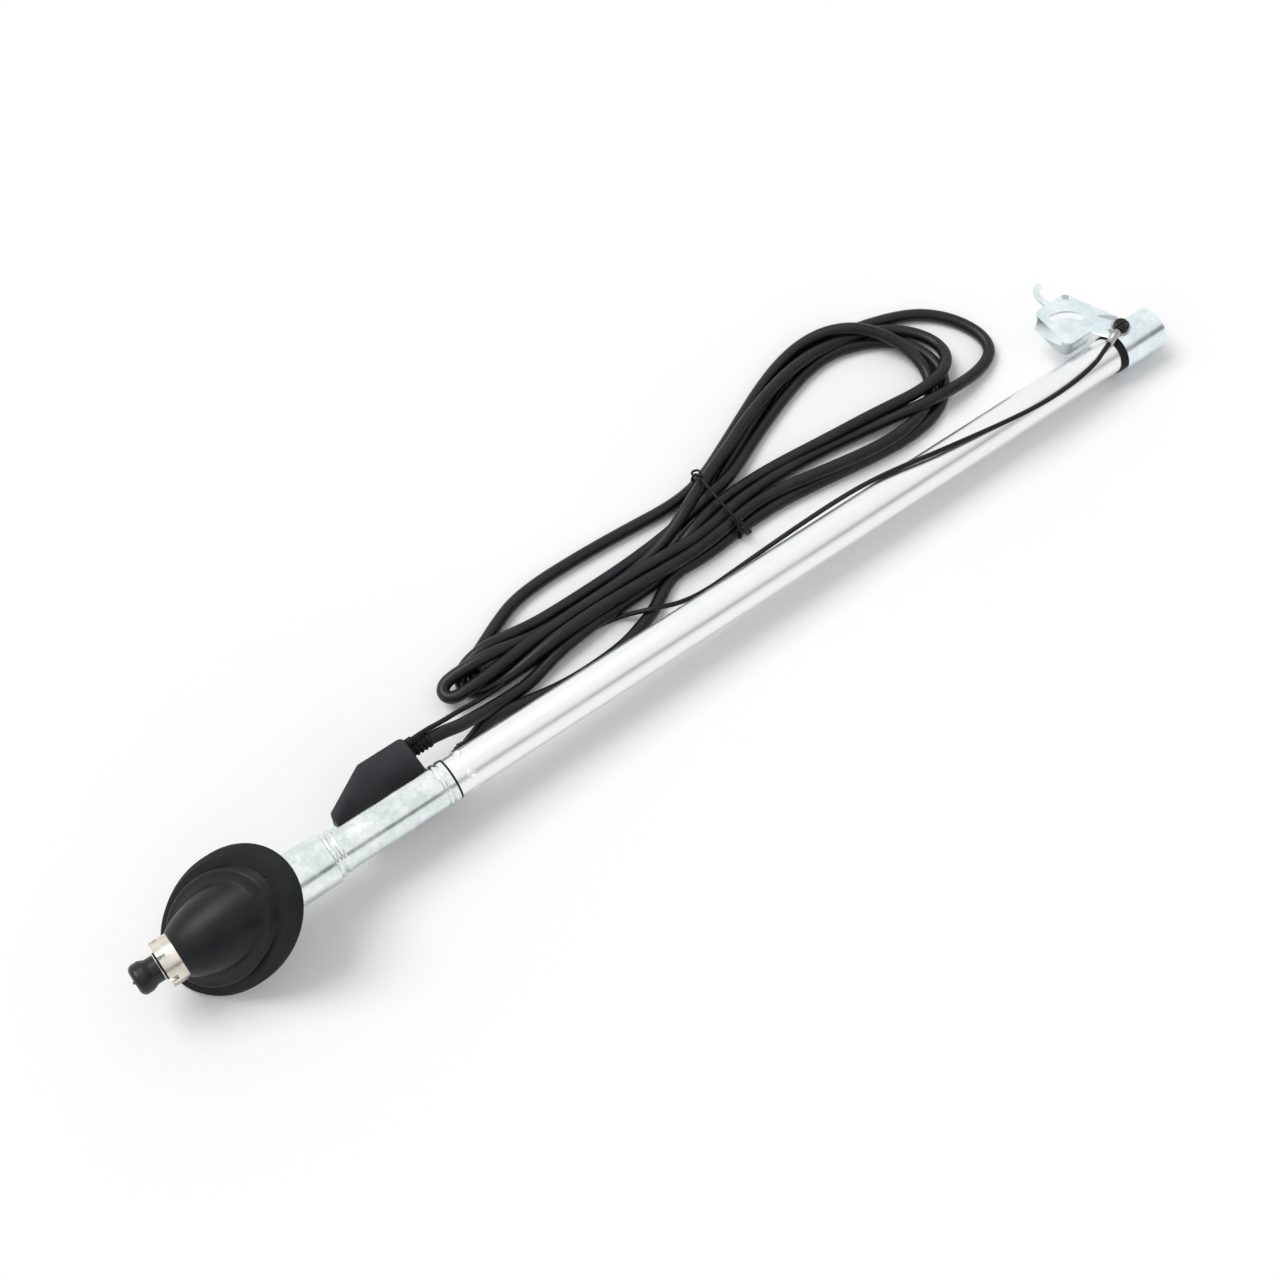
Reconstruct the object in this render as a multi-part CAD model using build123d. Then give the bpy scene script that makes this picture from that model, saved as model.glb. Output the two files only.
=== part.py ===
"""Retractable car antenna for a sloping wing, lying down with its lead in a tied hank.

The antenna is drawn along X with the mast tip at -X, and the joint between the head
sleeve and the main tube at X = 0. It is then laid on the ground on its pad and its
bracket. The cords are drawn where they lie on the ground.
"""
import math
import os

from build123d import *

# Main tube
TUBE_OD = 16.0
TUBE_WALL = 0.8
TUBE_LENGTH = 357.0
STAKE_X = 6.0
STAKE_COUNT = 5
STAKE_RADIUS = 2.5
STAKE_DEPTH = 0.5
STAKE_START = -40.5

# Slanted base: every slanted face leans this far from square, and the slope is
# turned this far round the mast from straight up
SLANT = 45.0
SLOPE_ROLL = 14.2

# Sealing pad
WING_X = -92.2
PAD_RADIUS = 24.2
PAD_THICKNESS = 4.6
PAD_BEVEL = 1.7
PEG_HOLE_RADIUS = 1.5
PEG_HOLE_OFFSET = 17.8
PEG_HOLE_TURN = -8.4

# Bell cap
BRIM_RADIUS = 19.6
BRIM_THICKNESS = 3.4
BRIM_EDGE = 1.3
BELL_TOP_X = -115.0
BELL_TOP_RADIUS = 9.3
BELL_SHOULDER_X = -109.0
BELL_SHOULDER_RADIUS = 12.3
BELL_BASE_X = -78.0
BELL_BASE_RADIUS = 16.6
BELL_HOLLOW_RADIUS = 9.6
BELL_ROOF = 5.6

# Threaded stem and its nut
STEM_RADIUS = 6.5
STEM_BORE = 4.6
STEM_HEAD_LENGTH = 3.0
THREAD_GAP = 0.06
NUT_LENGTH = 6.6
NUT_RADIUS = 9.0
NUT_ACROSS_FLATS = 16.8
NUT_LOBES = 6
NUT_SLOT_WIDTH = 2.1
NUT_SLOT_DEPTH = 2.9
NUT_TURN = 8.6

# Telescopic mast, from the outside in
MAST_RADIUS = 3.7
MAST_WALL = 0.35
MAST_GAP = 0.4
MAST_FIT = 0.06
MOUTH_LENGTH = 3.0
FOOT_LENGTH = 20.0
MAST_END_ROOM = 64.2
MAST_STEP = 9.5
MAST_MOUTH_X = -122.2
MOUTH_STEP = 0.1
PISTON_LENGTH = 12.0
PISTON_END = 2.0

# Tip knob
KNOB_REAR_X = -122.6
KNOB_NECK_RADIUS = 5.0
KNOB_NECK_LENGTH = 3.0
KNOB_RADIUS = 6.0
KNOB_TAPER = 2.2
KNOB_HEAD_LENGTH = 4.4
KNOB_ROUND = 2.3
KNOB_BORE_DEPTH = 7.0
NIB_RADIUS = 0.6
NIB_LENGTH = 0.5

# Guide bush
BUSH_FLANGE_RADIUS = 5.4
BUSH_FLANGE = 0.8
BUSH_LENGTH = 16.0

# Collar under the wing
COLLAR_REAR_X = -53.0
COLLAR_REAR_RADIUS = 10.0
COLLAR_FRONT_RADIUS = 11.0
COLLAR_WALL = 1.5

# Head sleeve
SLEEVE_RADIUS = 8.45
SLEEVE_WALL = 1.05
SLEEVE_FRONT_WALL = 2.0
BEAD_HEIGHT = 0.75
FRONT_BEAD = 2.4
FRONT_RIDGE = 2.0
REAR_FLANGE = 2.1
REAR_FLANGE_RISE = 0.15
REAR_BEAD = 1.7
GROOVE_WIDTH = 0.7
GROOVE_DEPTH = 0.45
WINDOW_X = -26.0
WINDOW_LENGTH = 9.0
WINDOW_HEIGHT = 5.0

# Insulator between sleeve and tube
RING_THICKNESS = 0.9
RING_RADIUS = 8.3
SPIGOT_LENGTH = 12.0
SPIGOT_GAP = 0.06

# Contact inside the head
CONTACT_LENGTH = 14.0
CONTACT_WALL = 0.5
CONTACT_X = -40.0
TAIL_WIDTH = 3.0
TAIL_THICKNESS = 0.6
TAIL_REACH = 14.0
HOLDER_LENGTH = 18.0

# Junction box on the back of the sleeve
BOX_START_Y = 3.0
BOX_FRONT_X = -44.5
BOX_SHOULDER_X = -26.0
BOX_REAR_X = -6.5
BOX_REACH = 22.5
BOX_TIP_REACH = 11.6
BOX_HALF_HEIGHT = 6.5
BOX_ROUND = 2.2
BOX_EDGE = 1.0
BOX_WALL = 1.6
BOX_SEAT_GAP = 0.05

# Coax, its gland and the thin earth lead
COAX_DIAMETER = 5.2
GLAND_RADIUS = 3.0
GLAND_LENGTH = 9.0
GLAND_RIBS = 4
GLAND_RIB_DEPTH = 0.35
GLAND_Y = 18.4
GLAND_Z = 0.0
LEAD_DIAMETER = 2.0
GROMMET_RADIUS = 1.5
GROMMET_LENGTH = 2.6
GROMMET_Y = 19.9
GROMMET_Z = 4.6

# Plastic liner and end plug of the main tube
LINER_WALL = 0.7
LINER_GAP = 0.1
LINER_END = 6.0
PLUG_DEPTH = 8.0
PLUG_FLANGE = 1.4
DRAIN_RADIUS = 2.0

# Lower bracket and its rubber liner
BAND_LENGTH = 22.0
BAND_OVERHANG = 3.0
RUBBER_THICKNESS = 0.5
RUBBER_PROUD = 2.8
SHEET = 1.0
PLATE_LENGTH = 20.0
PLATE_BACK_Y = 31.0
PLATE_EDGE_LENGTH = 18.0
PLATE_ROUND = 3.0
SKIRT_HEIGHT = 8.0
SKIRT_Y = 9.6
SKIRT_LENGTH = 13.0
SKIRT_ROUND = 3.0
ARC_SLOT_BACK = 15.0
ARC_SLOT_Y = 13.0
ARC_SLOT_RADIUS = 11.0
ARC_SLOT_SWEEP = 62.0
ARC_SLOT_START = 28.0
ARC_SLOT_WIDTH = 3.6
HOOK_WIDTH = 2.8
HOOK_PATH = [(-11.6, 29.5), (-12.2, 34.5), (-11.4, 38.6), (-7.4, 40.6)]

# Earth screw and ring terminal
SCREW_INSET = 5.0
SCREW_Y = 3.8
SCREW_RADIUS = 1.6
SCREW_HEAD_RADIUS = 3.3
SCREW_HEAD = 1.9
SCREW_REACH = 4.0
SCREW_GAP = 0.08
TERMINAL_RADIUS = 4.2
TERMINAL_SHEET = 0.8
BARREL_RADIUS = 1.7
BARREL_START = 4.6
BARREL_LENGTH = 7.4
TERMINAL_TURN = 200.0

# Plug at the far end of the coax, lying under the main tube
PLUG_X = 15.0
PLUG_Y = 14.3
PLUG_TURN = 22.0
PLUG_SHELL_RADIUS = 4.5
PLUG_SHELL_LENGTH = 13.5
PLUG_SHELL_WALL = 0.6
PLUG_SHELL_SLOTS = 4
PLUG_SLOT_WIDTH = 0.8
PLUG_SLOT_LENGTH = 7.0
PLUG_COLLAR_RADIUS = 4.3
PLUG_BOOT_LENGTH = 15.5
PLUG_BOOT_TIP = 3.1
PLUG_PIN_RADIUS = 1.65
PLUG_PIN_LENGTH = 9.0
PLUG_CORE_LENGTH = 10.0

# Hank: outline on the ground, its loops, its height and its tie
HANK_HEIGHT = 11.4
HANK_EDGE = 2.0
HANK_OUTLINE = [(20, 33), (24, 42), (34, 49), (50, 57), (70, 61), (96, 62), (128, 61), (154, 58),
                (170, 61), (190, 70), (218, 81.5), (240, 86), (262, 84.5), (284, 77),
                (299, 66), (306, 50), (304, 34), (292, 25), (268, 20.5), (240, 17.5),
                (214, 19), (190, 23), (166, 26.5), (146, 27), (128, 29.6), (108, 28.6), (94, 26), (82, 26),
                (60, 29.5), (36, 29.5)]
LEFT_LOOP = [(62, 47.5), (84, 52), (112, 53), (138, 50), (112, 46.5), (84, 44)]
RIGHT_LOOP = [(190, 50.5), (216, 66), (238, 71.5), (258, 67), (267, 54), (262, 42.5), (238, 43), (214, 48)]
OUTER_LOOP = [(281, 66), (291, 59), (297, 47), (294, 36), (284, 33), (286, 50)]
TIE_X = 157.0
TIE_RADIUS = 0.6
TIE_GAP = 0.15
TIE_CORNER = 3.0
TUNNEL_GAP = 0.6

# Cord routes: along the tube, away from it, height above the ground
COAX_ENTRY = (88.0, 27.8)
TAIL_EXIT = (148.0, 28.2)
COAX_ROUTE = [(31, 20.0, 12.5), (45, 22.0, 5.2), (60, 24.2, 2.7), (74, 27.0, 2.7)]
TAIL_ROUTE = [(134, 28.2, 2.7), (121, 25.4, 2.7), (109, 20.2, 2.7), (96, 15.6, 2.7), (82, 13.6, 2.7),
              (66, 13.6, 2.7), (52, 15.4, 2.7), (40, 17.6, 2.9)]
LEAD_ROUTE = [(22, 24.0, 17.6), (34, 27.4, 10.2), (47, 30.6, 4.2), (62, 32.8, 1.4), (82, 33.4, 1.2),
              (97, 28.4, 2.0), (105, 21.6, 6.8), (114, 16.8, 8.2), (126, 14.8, 5.0), (143, 14.8, 3.0),
              (163, 14.0, 6.6), (184, 12.0, 12.4), (203, 9.4, 17.6), (218, 5.8, 21.2),
              (234, 1.6, 23.2), (252, -1.4, 22.7), (272, -4.0, 21.1), (291, -5.6, 19.3),
              (308, -5.4, 18.7)]
CORD_START = 14.0
CORD_END = 13.3
LEAD_END = 12.0

# Sizes that follow from the ones above
MAST_LENGTH = TUBE_LENGTH - MAST_END_ROOM - MAST_MOUTH_X
BAND_X = TUBE_LENGTH + BAND_OVERHANG - BAND_LENGTH
SCREW_X = BAND_X + SCREW_INSET
PLATE_FRONT_X = BAND_X - PLATE_LENGTH
PLATE_CORNER_X = PLATE_FRONT_X + PLATE_EDGE_LENGTH
SKIRT_END_X = PLATE_FRONT_X + SKIRT_LENGTH
ARC_SLOT_X = BAND_X - ARC_SLOT_BACK
TUBE_RADIUS = TUBE_OD / 2
TUBE_BORE = TUBE_RADIUS - TUBE_WALL
SLEEVE_BORE = SLEEVE_RADIUS - SLEEVE_WALL
NUT_FRONT_X = BELL_TOP_X - NUT_LENGTH
STEM_FRONT_X = NUT_FRONT_X + 0.1
SLEEVE_FRONT_X = COLLAR_REAR_X
SLEEVE_REAR_X = -RING_THICKNESS
BRIM_X = WING_X - PAD_THICKNESS - BRIM_THICKNESS
BAND_INNER = TUBE_RADIUS + RUBBER_THICKNESS
BAND_OUTER = BAND_INNER + SHEET
LINER_OUTER = TUBE_BORE - LINER_GAP
LINER_BORE = LINER_OUTER - LINER_WALL
PISTON_RADIUS = LINER_BORE - MAST_FIT
COAX_RADIUS = COAX_DIAMETER / 2
LEAD_RADIUS = LEAD_DIAMETER / 2


def round_bar(x_start, x_end, radius, bore=0.0):
    """A bar or tube along X."""
    outline = Circle(radius) - Circle(bore) if bore else Circle(radius)
    return extrude(Plane.YZ.offset(x_start) * outline, x_end - x_start)


def turned(points):
    """A piece turned on the X axis from (x, radius) corners."""
    return revolve(make_face(Polyline(*points, close=True)), Axis.X)


def slant_plane(x):
    """The slanted plane that crosses the mast's axis at x, facing the main tube."""
    lean = math.tan(math.radians(SLANT))
    roll = math.radians(SLOPE_ROLL)
    facing = (1, lean * math.sin(roll), -lean * math.cos(roll))
    return Plane(origin=(x, 0, 0), z_dir=facing)


def slanted_slice(body, x_front, x_rear):
    """What lies between two slanted planes."""
    behind_front = split(body, bisect_by=slant_plane(x_front), keep=Keep.TOP)
    return split(behind_front, bisect_by=slant_plane(x_rear), keep=Keep.BOTTOM)


def outermost_edge(body, x):
    """The longest edge that lies in the slanted plane at x."""
    plane = slant_plane(x)
    near = [e for e in body.edges() if abs(plane.to_local_coords(e.center()).Z) < 0.01]
    return max(near, key=lambda e: e.length)


# Slanted base

def sealing_pad():
    """Rubber oval with a bevelled rim, a bore for the stem and a peg hole."""
    pad = slanted_slice(round_bar(WING_X - 60, WING_X + 60, PAD_RADIUS), WING_X - PAD_THICKNESS, WING_X)
    pad = chamfer(outermost_edge(pad, WING_X - PAD_THICKNESS), PAD_BEVEL)
    pad -= round_bar(WING_X - 60, WING_X + 60, STEM_RADIUS + THREAD_GAP)
    turn = math.radians(SLOPE_ROLL + PEG_HOLE_TURN)
    y, z = -PEG_HOLE_OFFSET * math.sin(turn), PEG_HOLE_OFFSET * math.cos(turn)
    peg = extrude(slant_plane(0) * Circle(PEG_HOLE_RADIUS), 12, both=True)
    lean = math.tan(math.radians(SLANT))
    roll = math.radians(SLOPE_ROLL)
    x = WING_X - PAD_THICKNESS / 2 + lean * (z * math.cos(roll) - y * math.sin(roll))
    return pad - Pos(x, y, z) * peg


def bell_cap():
    """Hollow bell with a slanted brim that sits flat on the pad."""
    profile = Curve() + [
        Line((BELL_TOP_X, 0), (BELL_TOP_X, BELL_TOP_RADIUS)),
        Spline((BELL_TOP_X, BELL_TOP_RADIUS), (BELL_SHOULDER_X, BELL_SHOULDER_RADIUS),
               (BELL_BASE_X, BELL_BASE_RADIUS), tangents=((0.9, 0.6), (1, 0.08))),
        Line((BELL_BASE_X, BELL_BASE_RADIUS), (BELL_BASE_X + 30, BELL_BASE_RADIUS)),
        Line((BELL_BASE_X + 30, BELL_BASE_RADIUS), (BELL_BASE_X + 30, 0)),
        Line((BELL_BASE_X + 30, 0), (BELL_TOP_X, 0))]
    dome = revolve(make_face(profile), Axis.X)
    dome = split(dome, bisect_by=slant_plane(BRIM_X + BRIM_THICKNESS), keep=Keep.BOTTOM)
    brim = slanted_slice(round_bar(BRIM_X - 60, BRIM_X + 60, BRIM_RADIUS), BRIM_X, BRIM_X + BRIM_THICKNESS)
    brim = fillet(outermost_edge(brim, BRIM_X), BRIM_EDGE)
    hollow = round_bar(BELL_TOP_X + BELL_ROOF, BELL_BASE_X + 30, BELL_HOLLOW_RADIUS)
    bore = round_bar(BELL_TOP_X - 12, BELL_BASE_X + 30, STEM_RADIUS + THREAD_GAP)
    nut_room = round_bar(BELL_TOP_X - 12, BELL_TOP_X, NUT_RADIUS + THREAD_GAP)
    return dome + brim - hollow - bore - nut_room


def castle_nut():
    """Ring nut with flats between its slots."""
    blank = round_bar(NUT_FRONT_X, BELL_TOP_X, NUT_RADIUS)
    flats = RegularPolygon(NUT_ACROSS_FLATS / 2, NUT_LOBES, major_radius=False)
    turn = Rot(X=NUT_TURN)
    hexagon = turn * extrude(Plane.YZ.offset(NUT_FRONT_X) * (Rot(Z=180 / NUT_LOBES) * flats), NUT_LENGTH)
    nut = blank & hexagon
    nut -= round_bar(NUT_FRONT_X, BELL_TOP_X, STEM_RADIUS + THREAD_GAP)
    cut = Pos(NUT_FRONT_X + NUT_SLOT_DEPTH / 2, 0, NUT_RADIUS) * Box(NUT_SLOT_DEPTH, NUT_SLOT_WIDTH, NUT_RADIUS)
    for number in range(NUT_LOBES):
        nut -= Rot(X=NUT_TURN + number * 360 / NUT_LOBES) * cut
    return nut


# Head

def head_stem():
    """Threaded stem with a head that bears inside the sleeve."""
    shank = round_bar(STEM_FRONT_X, SLEEVE_FRONT_X + SLEEVE_FRONT_WALL, STEM_RADIUS, STEM_BORE)
    head_x = SLEEVE_FRONT_X + SLEEVE_FRONT_WALL
    head = round_bar(head_x, head_x + STEM_HEAD_LENGTH, SLEEVE_BORE - SPIGOT_GAP, STEM_BORE)
    return shank + head


def clamp_collar():
    """Cup that grips the wing from below, cut to the slope of the pad."""
    front_x = WING_X - COLLAR_FRONT_RADIUS * math.tan(math.radians(SLANT)) - 1
    cup = turned([(front_x, COLLAR_FRONT_RADIUS), (COLLAR_REAR_X, COLLAR_REAR_RADIUS),
                  (COLLAR_REAR_X, STEM_RADIUS + THREAD_GAP),
                  (COLLAR_REAR_X - COLLAR_WALL, STEM_RADIUS + THREAD_GAP),
                  (COLLAR_REAR_X - COLLAR_WALL, COLLAR_REAR_RADIUS - COLLAR_WALL),
                  (front_x, COLLAR_FRONT_RADIUS - COLLAR_WALL)])
    return split(cup, bisect_by=slant_plane(WING_X), keep=Keep.TOP)


def bead(x_start, x_end, radius, height):
    """A rounded bead for a turned outline, from front to rear."""
    middle = (x_start + x_end) / 2
    return ThreePointArc((x_start, radius), (middle, radius + height), (x_end, radius))


def head_sleeve():
    """Plated steel sleeve with rolled beads at both ends and a window under the box."""
    radius, root = SLEEVE_RADIUS, SLEEVE_RADIUS - GROOVE_DEPTH
    x = [SLEEVE_FRONT_X, SLEEVE_FRONT_X + FRONT_BEAD]
    x += [x[1] + GROOVE_WIDTH, x[1] + GROOVE_WIDTH + FRONT_RIDGE]
    rear = [SLEEVE_REAR_X - REAR_FLANGE - 2 * GROOVE_WIDTH - REAR_BEAD, SLEEVE_REAR_X - REAR_FLANGE - GROOVE_WIDTH
            - REAR_BEAD, SLEEVE_REAR_X - REAR_FLANGE - GROOVE_WIDTH, SLEEVE_REAR_X - REAR_FLANGE]
    flange = radius + REAR_FLANGE_RISE
    outline = Curve() + [
        Line((x[0], STEM_RADIUS + THREAD_GAP), (x[0], radius)),
        bead(x[0], x[1], radius, BEAD_HEIGHT),
        Polyline((x[1], radius), (x[1], root), (x[2], root), (x[2], radius)),
        bead(x[2], x[3], radius, BEAD_HEIGHT / 2),
        Polyline((x[3], radius), (rear[0], radius), (rear[0], root), (rear[1], root), (rear[1], radius)),
        bead(rear[1], rear[2], radius, BEAD_HEIGHT / 3),
        Polyline((rear[2], radius), (rear[2], root), (rear[3], root), (rear[3], flange),
                 (SLEEVE_REAR_X, flange), (SLEEVE_REAR_X, SLEEVE_BORE),
                 (x[0] + SLEEVE_FRONT_WALL, SLEEVE_BORE),
                 (x[0] + SLEEVE_FRONT_WALL, STEM_RADIUS + THREAD_GAP), (x[0], STEM_RADIUS + THREAD_GAP))]
    sleeve = revolve(make_face(outline), Axis.X)
    window = Pos(WINDOW_X, SLEEVE_RADIUS, 0) * Box(WINDOW_LENGTH, 4 * SLEEVE_WALL + 4, WINDOW_HEIGHT)
    return sleeve - window


def guide_bush():
    """Plastic bush in the mouth of the stem, in which the mast slides."""
    bore = MAST_RADIUS + MAST_FIT
    flange = round_bar(STEM_FRONT_X - BUSH_FLANGE, STEM_FRONT_X, BUSH_FLANGE_RADIUS, bore)
    return flange + round_bar(STEM_FRONT_X, STEM_FRONT_X + BUSH_LENGTH, STEM_BORE - THREAD_GAP, bore)


def contact_holder():
    """Insulating ring that carries the contact in the sleeve."""
    inner = MAST_RADIUS + MAST_FIT + CONTACT_WALL + THREAD_GAP
    ring = round_bar(CONTACT_X - 2, CONTACT_X - 2 + HOLDER_LENGTH, SLEEVE_BORE - SPIGOT_GAP, inner)
    tail_x = CONTACT_X + CONTACT_LENGTH - TAIL_WIDTH / 2
    slot = Pos(tail_x, SLEEVE_BORE, 0) * Box(TAIL_WIDTH + 0.4, 2 * SLEEVE_BORE, TAIL_THICKNESS + 0.4)
    return ring - slot


def contact_spring():
    """Slit brass sleeve round the mast, with a tail that leads into the box."""
    bore = MAST_RADIUS + MAST_FIT
    spring = round_bar(CONTACT_X, CONTACT_X + CONTACT_LENGTH, bore + CONTACT_WALL, bore)
    slit_length = CONTACT_LENGTH - 2 * TAIL_WIDTH
    for number in range(4):
        slit = Pos(CONTACT_X + slit_length / 2, 0, bore) * Box(slit_length - 2, 0.5, 3)
        spring -= Rot(X=45 + 90 * number) * slit
    tail_x = CONTACT_X + CONTACT_LENGTH - TAIL_WIDTH / 2
    start = bore + CONTACT_WALL / 2
    tail = Pos(tail_x, (start + TAIL_REACH) / 2, 0) * Box(TAIL_WIDTH, TAIL_REACH - start, TAIL_THICKNESS)
    return spring + tail


def joint_insulator():
    """Flanged plastic bush between the sleeve and the main tube."""
    bore = STEM_BORE
    flange = round_bar(SLEEVE_REAR_X, 0, RING_RADIUS, bore)
    front = round_bar(SLEEVE_REAR_X - SPIGOT_LENGTH, SLEEVE_REAR_X, SLEEVE_BORE - SPIGOT_GAP, bore)
    return flange + front + round_bar(0, SPIGOT_LENGTH, TUBE_BORE - SPIGOT_GAP, bore)


# Junction box

def junction_box():
    """Hollow moulded box, pointed at the front, seated on the back of the sleeve."""
    corners = [(BOX_FRONT_X, 0), (BOX_FRONT_X, BOX_TIP_REACH), (BOX_SHOULDER_X, BOX_REACH),
               (BOX_REAR_X, BOX_REACH), (BOX_REAR_X, 0)]
    outline = make_face(Polyline(*corners, close=True))
    rounded = fillet([v for v in outline.vertices() if v.Y > 1], BOX_ROUND)
    body = extrude(rounded, BOX_HALF_HEIGHT, both=True)
    flats = [f for f in body.faces() if abs(abs(f.center().Z) - BOX_HALF_HEIGHT) < 0.01]
    body = fillet([e for f in flats for e in f.edges() if e.center().Y > 1], BOX_EDGE)
    room = offset(make_face(Polyline(*corners, close=True)), -BOX_WALL, kind=Kind.INTERSECTION)
    hollow = extrude(room, BOX_HALF_HEIGHT - BOX_WALL, both=True)
    hollow -= round_bar(BOX_FRONT_X, BOX_REAR_X, SLEEVE_RADIUS + BOX_WALL)
    seat = round_bar(BOX_FRONT_X - 5, BOX_REAR_X + 5, SLEEVE_RADIUS + BOX_SEAT_GAP)
    window = Pos(WINDOW_X, SLEEVE_RADIUS + BOX_WALL, 0) * Box(WINDOW_LENGTH, 4 * BOX_WALL, WINDOW_HEIGHT)
    gland = Pos(0, GLAND_Y, GLAND_Z) * round_bar(BOX_REAR_X - 3, BOX_REAR_X + 3, COAX_RADIUS)
    grommet = Pos(0, GROMMET_Y, GROMMET_Z) * round_bar(BOX_REAR_X - 3, BOX_REAR_X + 3, LEAD_RADIUS)
    box = body - hollow - seat - window - gland - grommet
    return split(box, bisect_by=Plane(origin=(0, BOX_START_Y, 0), z_dir=(0, 1, 0)), keep=Keep.TOP)


def coax_gland():
    """Ribbed strain relief where the coax leaves the box."""
    gland = Pos(0, GLAND_Y, GLAND_Z) * round_bar(BOX_REAR_X, BOX_REAR_X + GLAND_LENGTH, GLAND_RADIUS)
    pitch = GLAND_LENGTH / (GLAND_RIBS + 1)
    for number in range(GLAND_RIBS):
        x = BOX_REAR_X + pitch * (number + 1)
        gland -= Pos(0, GLAND_Y, GLAND_Z) * round_bar(x - pitch / 4, x + pitch / 4, GLAND_RADIUS + 1,
                                                      GLAND_RADIUS - GLAND_RIB_DEPTH)
    return gland


def lead_grommet():
    """Small grommet where the earth lead leaves the box."""
    return Pos(0, GROMMET_Y, GROMMET_Z) * round_bar(BOX_REAR_X, BOX_REAR_X + GROMMET_LENGTH, GROMMET_RADIUS)


# Main tube

def main_tube():
    """Bright tube, staked round its front end on to the insulator."""
    tube = round_bar(0, TUBE_LENGTH, TUBE_RADIUS, TUBE_BORE)
    dent = Pos(STAKE_X, 0, TUBE_RADIUS + STAKE_RADIUS - STAKE_DEPTH) * Sphere(STAKE_RADIUS)
    for number in range(STAKE_COUNT):
        tube -= Rot(X=-STAKE_START - number * 360 / STAKE_COUNT) * dent
    return tube - screw_hole(TUBE_RADIUS + 3)


def screw_hole(top):
    """The hole that the earth screw needs in what it holds."""
    return Pos(SCREW_X, SCREW_Y, top / 2) * Cylinder(SCREW_RADIUS + SCREW_GAP, top)


def tube_liner():
    """Plastic liner that keeps the mast off the tube."""
    return round_bar(SPIGOT_LENGTH + LINER_GAP, SCREW_X - LINER_END, LINER_OUTER, LINER_BORE)


def tube_end_plug():
    """Plug with a drain hole in the lower end of the tube."""
    body = round_bar(TUBE_LENGTH - PLUG_DEPTH, TUBE_LENGTH, TUBE_BORE - SPIGOT_GAP, DRAIN_RADIUS)
    return body + round_bar(TUBE_LENGTH, TUBE_LENGTH + PLUG_FLANGE, TUBE_RADIUS, DRAIN_RADIUS)


# Telescopic mast

def section_radius(number):
    """Outer radius of a mast section, counted from the widest."""
    return MAST_RADIUS - number * (MAST_WALL + MAST_GAP)


def mast_section(number):
    """A drawn tube: its mouth is rolled in on the next one, its tail is opened out."""
    radius = section_radius(number)
    bore = radius - MAST_WALL
    mouth = section_radius(number + 1) + MAST_FIT
    front = MAST_MOUTH_X - number * MOUTH_STEP
    rear = front + MAST_LENGTH - number * MAST_STEP
    tail = section_radius(number - 1) - MAST_WALL - MAST_FIT if number else radius
    return turned([(front, mouth), (front, radius - 0.15), (front + 0.3, radius),
                   (rear - FOOT_LENGTH, radius), (rear - FOOT_LENGTH + 0.5, tail), (rear, tail),
                   (rear, bore), (front + MOUTH_LENGTH, bore), (front + MOUTH_LENGTH, mouth)])


def mast_rod():
    """Solid tip rod with a spread foot."""
    radius = section_radius(3)
    foot = section_radius(2) - MAST_WALL - MAST_FIT
    rear = MAST_MOUTH_X + MAST_LENGTH - 3 * MAST_STEP
    front = KNOB_REAR_X - KNOB_BORE_DEPTH
    return turned([(front, 0), (front, radius), (rear - FOOT_LENGTH, radius),
                   (rear - FOOT_LENGTH + 0.3, foot), (rear, foot), (rear, 0)])


def mast_foot():
    """Nylon piston on the tail of the widest section."""
    end = MAST_MOUTH_X + MAST_LENGTH
    cup = round_bar(end + PISTON_END - PISTON_LENGTH, end, PISTON_RADIUS, MAST_RADIUS)
    return cup + round_bar(end, end + PISTON_END, PISTON_RADIUS)


def tip_knob():
    """Moulded knob pressed on the rod."""
    rear, neck = KNOB_REAR_X, KNOB_NECK_RADIUS
    widest = rear - KNOB_NECK_LENGTH - KNOB_TAPER
    tip = widest - KNOB_HEAD_LENGTH
    bore = section_radius(3)
    knob = turned([(rear, bore), (rear, neck), (rear - KNOB_NECK_LENGTH, neck), (widest, KNOB_RADIUS),
                   (tip, KNOB_RADIUS), (tip, 0), (rear - KNOB_BORE_DEPTH, 0), (rear - KNOB_BORE_DEPTH, bore)])
    rim = max(knob.edges().group_by(Axis.X)[0], key=lambda e: e.length)
    knob = fillet(rim, KNOB_ROUND)
    return knob + round_bar(tip - NIB_LENGTH, tip + 1, NIB_RADIUS)


# Lower bracket

def clamp_liner():
    """Rubber sleeve between the tube and the band."""
    ring = round_bar(BAND_X - RUBBER_PROUD, TUBE_LENGTH, BAND_INNER, TUBE_RADIUS)
    return ring - screw_hole(BAND_OUTER)


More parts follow.
